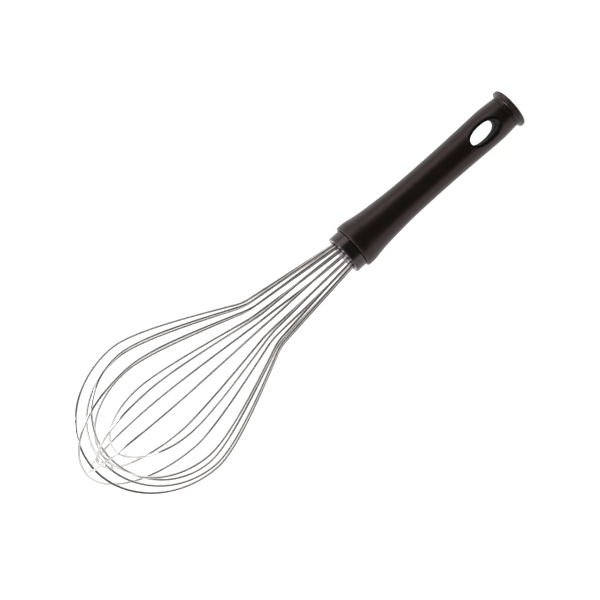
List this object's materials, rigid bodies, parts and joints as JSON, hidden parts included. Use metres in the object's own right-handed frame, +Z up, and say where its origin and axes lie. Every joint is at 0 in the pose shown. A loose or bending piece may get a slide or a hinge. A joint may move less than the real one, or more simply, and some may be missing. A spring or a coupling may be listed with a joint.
{
  "type": "balloon whisk",
  "caption": "Balloon whisk with nested steel wire loops, a round front collar and a waisted hollow handle with an oval hanging hole and a flanged end cap.",
  "frame": {"origin": "on the surface that the whisk lies on, under the centre of its bounding box", "axes": "+X along the whisk from the wire balloon's tip to the handle's end cap, +Z up, +Y to the left of the handle's direction. The whisk's own axis dips 6.9 degrees towards the end cap, as it does at rest."},
  "size_m": [0.3462, 0.0978, 0.0963],
  "materials": {
    "handle_plastic": "semi-gloss, dark brown-black",
    "collar_plastic": "gloss, black",
    "cap_plastic": "semi-gloss, dark brown-black",
    "eye_plastic": "semi-gloss, black",
    "resin": "cast, hidden in the handle",
    "disc_steel": "plain",
    "wire_steel": "polished drawn wire"
  },
  "bodies": {
    "root": {"handle_shell": "handle_plastic", "wire_collar": "collar_plastic", "end_cap": "cap_plastic", "hanging_eye": "eye_plastic", "resin_seal": "resin", "anchor_disc": "disc_steel", "wire_loop_1": "wire_steel", "wire_loop_2": "wire_steel", "wire_loop_3": "wire_steel", "wire_loop_4": "wire_steel", "wire_loop_5": "wire_steel", "wire_loop_6": "wire_steel", "wire_loop_7": "wire_steel", "wire_loop_8": "wire_steel"}
  },
  "joints": []
}
